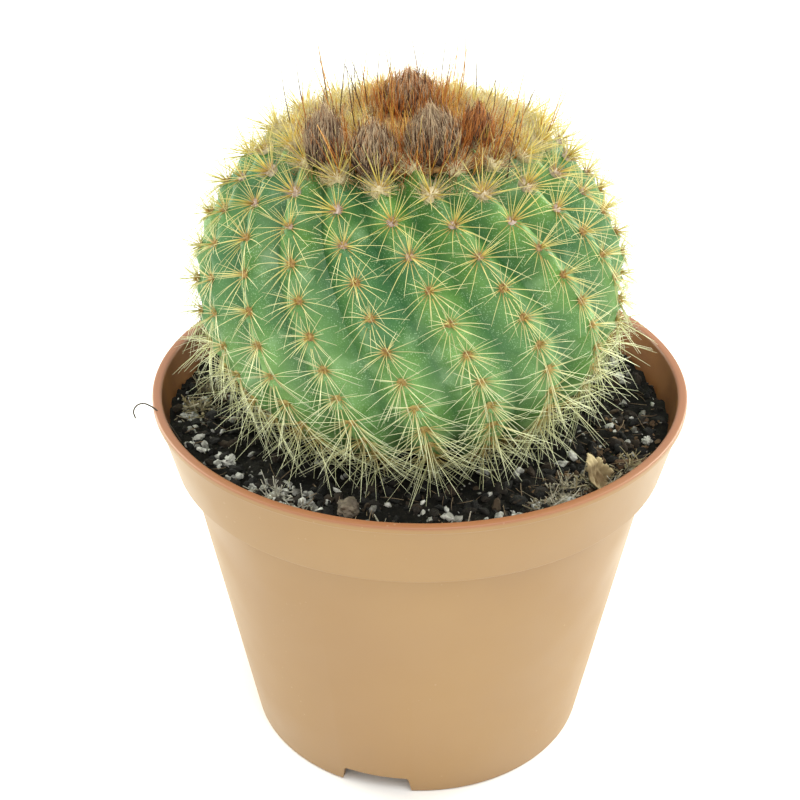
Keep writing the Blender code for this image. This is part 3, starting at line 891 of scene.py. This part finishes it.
clearance = 0.0003
top_rings = 84
soil_outline = [
    (0.0, soil_bottom), (base_radius - wall - clearance, soil_bottom),
    (wall_top_radius - wall - clearance, collar_foot),
    (collar_foot_radius - wall - clearance, collar_foot + wall + clearance),
]
soil_outline += [(soil_edge * (1 - ring / top_rings), soil_level) for ring in range(top_rings + 1)]
ground = turned(soil_outline, 240)
for vert in ground.verts:
    if vert.co.z > soil_level - clearance:
        x, y = vert.co.x, vert.co.y
        vert.co.z = min(soil_height(x, y), stem_underside(x, y) - clearance)
soil = finished("potting_mix", ground, [peat], sharp=60)
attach(soil, "root")
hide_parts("soil")

perlite, tree, shader = new_material("perlite", 0.9)
foam = placed(tree, mottle, Dark=rgb(104, 104, 96), Light=rgb(222, 222, 212), Scale=700.0, Detail=5.0)
where = place_on(tree)
soiled = patches_over(tree, where, 330.0, 4.0)
tone = attribute(tree, "tone")
dirt = put(tree, "ShaderNodeMath", {0: soiled, 1: tone}, operation="ADD").outputs[0]
dirty = mix(tree, stretch(tree, dirt, 0.8, 1.5, 0.0, 0.8), foam["Colour"], rgb(62, 58, 48))
tree.links.new(dirty, shader.inputs["Base Color"])
bumped(tree, shader, foam["Height"], 0.0006)
crumb_shade = strand_material(
    "peat_crumb", 0.95,
    (rgb(8, 9, 6), rgb(14, 14, 10), rgb(22, 20, 15)), (rgb(70, 52, 34), rgb(96, 74, 50), rgb(116, 94, 66)),
    crusty=True,
)
thread_shade = strand_material("root_thread", 0.8, (rgb(58, 44, 32), rgb(100, 82, 60), rgb(140, 122, 94)))

shards = [lump_form(f"shard_{kind}", 1, knock=0.55, seed=3.1 * kind) for kind in range(4)]
chunks = [lump_form(f"chunk_{kind}", 2, knock=0.5, seed=5.3 * kind) for kind in range(4)]
thread = strand_form("thread", 3, 3, 0.6)
bare_ring = 0.0225


def scattered(chance, near=bare_ring, far=soil_edge - 0.0012, left=-180.0, right=180.0):
    """A place on the open potting mix, between the stem and the pot."""
    distance = math.sqrt(chance.uniform(near**2, far**2))
    spot = around(chance.uniform(left, right), distance)
    spot.z = soil_height(spot.x, spot.y)
    return spot


def any_turn(chance):
    """A turn by any angle about any axis."""
    axis = wobble(chance, 1).normalized()
    return Matrix.Rotation(chance.uniform(0, math.tau), 3, axis)


def strew(bunch, chance, spot, size, age):
    """Lays one broken bit on the potting mix, a chunk or, where it is small, a plainer shard."""
    form = chance.choice(chunks if size > 0.0018 else shards)
    width, thickness = size * chance.uniform(0.5, 0.9), size * chance.uniform(0.35, 0.75)
    flattened = Matrix.Diagonal(Vector((size, width, thickness)))
    centre = spot + Vector((0.0, 0.0, 0.18 * size))
    drop_lump(bunch, form, centre, 1.0, any_turn(chance) @ flattened, chance, 0.1, chance.random(), age)


chance = random.Random(21)
crumbs = new_bunch()
for _ in range(crumb_count):
    spot = scattered(chance)
    strew(crumbs, chance, spot, 0.0007 + 0.0028 * chance.random() ** 3, 0.3 * chance.random() ** 5)
for _ in range(brown_crumb_count):
    spot = scattered(chance, near=0.040, left=34.0, right=84.0)
    strew(crumbs, chance, spot, 0.0005 + 0.0016 * chance.random() ** 2, chance.uniform(0.4, 1.0))
white_bits = new_bunch()
for _ in range(perlite_count):
    strew(white_bits, chance, scattered(chance, near=0.031), 0.0005 + 0.0024 * chance.random() ** 3, 0.5)
perlite_drifts = ((-52.0, -24.0, 0.042, 46), (12.0, 34.0, 0.047, 26), (-80.0, -55.0, 0.046, 26))
for left, right, near, grains in perlite_drifts:
    for _ in range(grains):
        spot = scattered(chance, near=near, left=left, right=right)
        strew(white_bits, chance, spot, chance.uniform(0.0008, 0.0026), 0.5)
threads = new_bunch()
for _ in range(thread_count):
    spot = scattered(chance) + Vector((0.0, 0.0, 0.0004))
    angle = chance.uniform(0.0, math.tau)
    way = Vector((math.cos(angle), math.sin(angle), chance.uniform(0.0, 0.45))).normalized()
    length = chance.uniform(0.002, 0.006)
    if (spot + way * length).xy.length > soil_edge - 0.001:
        way = Vector((-way.x, -way.y, way.z))
    bend = Vector((-way.y, way.x, -0.3)) * length * chance.uniform(-0.5, 0.5)
    grow(threads, thread, spot, way, length, chance.uniform(0.00006, 0.00015), bend, chance.random())
moss = new_bunch()
moss_heaps = (  # azimuth, distance from the pot's axis, spread, strands, how bleached
    (41.0, 0.0478, 0.0036, 150, 0.4), (50.0, 0.0496, 0.0034, 130, 0.3), (33.0, 0.0495, 0.0026, 70, 0.5),
    (61.0, 0.0512, 0.0028, 70, 0.1), (-84.0, 0.0505, 0.0036, 120, 0.1), (-97.0, 0.0495, 0.0030, 70, 0.0),
    (-37.0, 0.0490, 0.0032, 90, 0.8), (-29.0, 0.0505, 0.0024, 50, 1.0), (-7.0, 0.0512, 0.0016, 16, 0.6),
    (11.0, 0.0510, 0.0018, 24, 0.9), (118.0, 0.0500, 0.0034, 100, 0.4), (164.0, 0.0490, 0.0034, 90, 0.3),
    (-146.0, 0.0500, 0.0036, 110, 0.6),
)
for azimuth, distance, spread, strands, bleached in moss_heaps:
    for _ in range(strands):
        spot = around(azimuth, distance) + sideways(chance, spread / 2)
        if not bare_ring < spot.xy.length < soil_edge - 0.0015:
            continue
        spot.z = soil_height(spot.x, spot.y) + 0.0012 * chance.random() ** 2
        way = Vector((chance.gauss(0, 1), chance.gauss(0, 1), chance.uniform(-0.1, 0.8))).normalized()
        if (spot + way * 0.004).xy.length > soil_edge - 0.001:
            way = Vector((-way.x, -way.y, way.z))
        bend = wobble(chance, 0.0013)
        width = chance.uniform(0.00008, 0.0003)
        age = clamped(chance.gauss(bleached, 0.25))
        grow(moss, thread, spot, way, chance.uniform(0.0010, 0.0030), width, bend, chance.random(), age)
        if chance.random() < 0.3:
            strew(moss, chance, spot, chance.uniform(0.0006, 0.0018), age)
moss_shade = strand_material(
    "shredded_moss", 0.9,
    (rgb(66, 56, 38), rgb(120, 108, 76), rgb(158, 146, 108)),
    (rgb(110, 106, 92), rgb(164, 162, 148), rgb(196, 194, 180)),
    crusty=True,
)
for name, bunch, material, slot in (
    ("peat_crumbs", crumbs, crumb_shade, "peat"),
    ("perlite_bits", white_bits, perlite, "perlite"),
    ("root_threads", threads, thread_shade, "peat"),
    ("moss_shreds", moss, moss_shade, "peat"),
):
    piece = finished(name, bunch, [material], sharp=45)
    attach(piece, "root")

# -------------------------------------------------------------------------- Perlite and the stone
# The larger grains of perlite, popped volcanic glass with a pitted skin, and one small grey-brown
# stone. They lie loose on the potting mix.

settled = 0.0004


def worn_lump(low, high, seed, shape_knock, pit_size, pit_depth):
    """A lump that fills a box, knocked out of round and pitted all over."""
    shape = new_bunch()
    bmesh.ops.create_icosphere(shape, subdivisions=4, radius=1.0)
    half, middle = (high - low) / 2, (low + high) / 2
    tone = shape.verts.layers.float["tone"]
    for vert in shape.verts:
        way = vert.co.normalized()
        knock = shape_knock * dents(way, 1.6, 3.4, (seed, 0, 0), (seed, seed, 0))
        pits = pit_depth * abs(noise.noise(way * pit_size + Vector((0, seed, 0))))
        vert.co = middle + way * half * (1.0 + knock - pits) - Vector((0, 0, settled))
        vert[tone] = (seed * 0.37) % 0.7
    return shape


stone = mottled_material("stone", 0.75, rgb(58, 50, 42), rgb(122, 110, 92), 480.0, 6.0, relief=0.0004)
for number in range(1, 15):
    low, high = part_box(f"perlite_{number:02d}")
    grain = finished(f"perlite_grain_{number:02d}", worn_lump(low, high, number, 0.5, 5.0, 0.55), [perlite])
    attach(grain, "root")
    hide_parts(f"perlite_{number:02d}")
low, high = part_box("pebble")
pebble = finished("pebble_worn", worn_lump(low, high, 3, 0.3, 3.0, 0.2), [stone])
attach(pebble, "root")
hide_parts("pebble")

# ---------------------------------------------------------------------- Bark chips and dead leaf
# Splinters of bark from the potting mix, split along their grain, and a crumpled tan flake of dead
# leaf that has blown in and leans against the rim.

bark, tree, shader = new_material("bark", 0.9)
where = place_on(tree)
fibrous = put(tree, "ShaderNodeMapping", {"Vector": where, "Scale": (1.0, 1.0, 6.0)}).outputs[0]
split = patches_over(tree, fibrous, 500.0, 5.0)
streaked = mix(tree, stretch(tree, split, 0.35, 0.65), rgb(44, 30, 20), rgb(104, 78, 52))
tree.links.new(streaked, shader.inputs["Base Color"])
bumped(tree, shader, split, 0.0004)
for number in range(1, 5):
    node = f"bark_chip_{number}"
    chip = bmesh.new()
    chip.from_mesh(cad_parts[node].data)
    bmesh.ops.remove_doubles(chip, verts=chip.verts, dist=0.00001)
    bmesh.ops.subdivide_edges(chip, edges=chip.edges, cuts=4, use_grid_fill=True)
    for vert in chip.verts:
        vert.co += vert.normal * 0.0005 * noise.noise(vert.co * 900.0) - Vector((0.0, 0.0, settled))
    splinter = finished(f"{node}_split", chip, [bark], sharp=60)
    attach(splinter, "root")
    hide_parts(node)

dead_leaf = mottled_material(
    "dead_leaf", 0.8, rgb(112, 92, 60), rgb(198, 182, 138), 170.0, 6.0, relief=0.0004
)
leaf_half_width, leaf_half_height, leaf_thickness = 0.0037, 0.0066, 0.00024
low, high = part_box("dry_leaf_flake")
middle = (low + high) / 2
leaf_azimuth = math.degrees(math.atan2(middle.x, -middle.y))
outwards = around(leaf_azimuth, 1.0)
across, rising = around(leaf_azimuth + 90.0, 1.0), (Vector((0, 0, 0.8)) - outwards * 0.6)
facing = across.cross(rising)
flake = bmesh.new()
bmesh.ops.create_grid(flake, x_segments=32, y_segments=44, size=1.0)
ragged = [
    vert for vert in flake.verts
    if vert.co.xy.length > 0.82 + 0.4 * noise.noise(Vector((vert.co.x, vert.co.y, 4.0)) * 2.1)
]
bmesh.ops.delete(flake, geom=ragged, context="VERTS")
leaf_foot = around(leaf_azimuth, soil_edge - 0.0016, soil_level - 0.0004)
for vert in flake.verts:
    x, y = vert.co.x, vert.co.y
    crumple = 0.0018 * noise.noise(Vector((x, y, 0.3)) * 1.9)
    crumple += 0.0008 * noise.noise(Vector((x, y, 1.3)) * 5.0)
    curl = 0.0012 * (x * x - 0.3)
    vert.co = leaf_foot + across * (x * leaf_half_width) + rising * ((y + 0.8) * leaf_half_height)
    vert.co += facing * (crumple + curl)
leaf = finished("dry_leaf", flake, [dead_leaf])
solidify = leaf.modifiers.new("thickness", "SOLIDIFY")
solidify.thickness = leaf_thickness
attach(leaf, "root")
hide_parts("dry_leaf_flake")

# -------------------------------------------------------------------------------- The dry thread
# One dead root thread, dry and stiff. It is caught between the potting mix and the rim at the left,
# and hooks out over it.

husk = mottled_material("husk", 0.8, rgb(36, 30, 24), rgb(84, 72, 58), 900.0, 3.0)
hook = bpy.data.curves.new("dry_thread", "CURVE")
hook.dimensions = "3D"
hook.bevel_depth = 0.00018
hook.bevel_resolution = 2
hook.use_fill_caps = True
route = hook.splines.new("BEZIER")
hook_points = (
    (-0.0515, -0.0190, 0.0812), (-0.0550, -0.0175, 0.0862), (-0.0588, -0.0150, 0.0886),
    (-0.0612, -0.0140, 0.0884), (-0.0626, -0.0142, 0.0868), (-0.0622, -0.0150, 0.0853),
)
route.bezier_points.add(len(hook_points) - 1)
for point, spot in zip(route.bezier_points, hook_points):
    point.co = spot
    point.handle_left_type = point.handle_right_type = "AUTO"
curve_piece = linked("dry_thread_route", hook)
thread_mesh = plain_mesh(curve_piece)
bpy.data.objects.remove(curve_piece)
thread_mesh.materials.append(husk)
dry_thread = linked("dry_thread", thread_mesh)
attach(dry_thread, "root")

# ------------------------------------------------------------------------- Floor, light and camera
# A white table top in a white tent of light. A lamp stands at each side behind the plant, and a
# weaker one shines down on it from the front.

floor_shape = bmesh.new()
bmesh.ops.create_grid(floor_shape, x_segments=1, y_segments=1, size=4.0)
table_white = mottled_material(
    "table_white", 0.7, rgb(247, 247, 245), rgb(251, 251, 249), 3.0, 2.0, specular_ior_level=0.2
)
floor = finished("table_top", floor_shape, [table_white])
floor.location.z = -0.0001

world = bpy.data.worlds.new("light_tent")
world.use_nodes = True
tent = world.node_tree.nodes["Background"].inputs
tent["Color"].default_value = (1.0, 1.0, 0.99, 1.0)
tent["Strength"].default_value = 1.05
bpy.context.scene.world = world


def softbox(name, place, size, power, colour):
    """A square area light that faces the plant."""
    lamp = bpy.data.lights.new(name, "AREA")
    lamp.size, lamp.energy, lamp.color = size, power, colour
    stand = linked(name, lamp)
    stand.location = place
    stand.rotation_euler = (Vector((0.0, 0.0, 0.1)) - Vector(place)).to_track_quat("-Z", "Y").to_euler()


softbox("left_back", (-0.75, 0.45, 0.45), 0.6, 9.0, (0.98, 1.0, 0.85))
softbox("right_back", (0.75, 0.45, 0.45), 0.6, 11.0, (0.98, 1.0, 0.85))
softbox("top_front", (0.15, -0.5, 0.95), 0.5, 5.0, (1.0, 0.99, 0.97))

view = bpy.data.cameras.new("camera")
view.lens = 68.465
view.sensor_width = 36.0
view.clip_start = 0.01
camera = linked("camera", view)
camera.location = (0.0, -0.3009, 0.2561)
tilt_down, turn_left = 0.525, 0.0146
camera.rotation_euler = (math.pi / 2 - tilt_down, 0.0, turn_left)
bpy.context.scene.camera = camera
bpy.context.scene.view_settings.view_transform = "Standard"
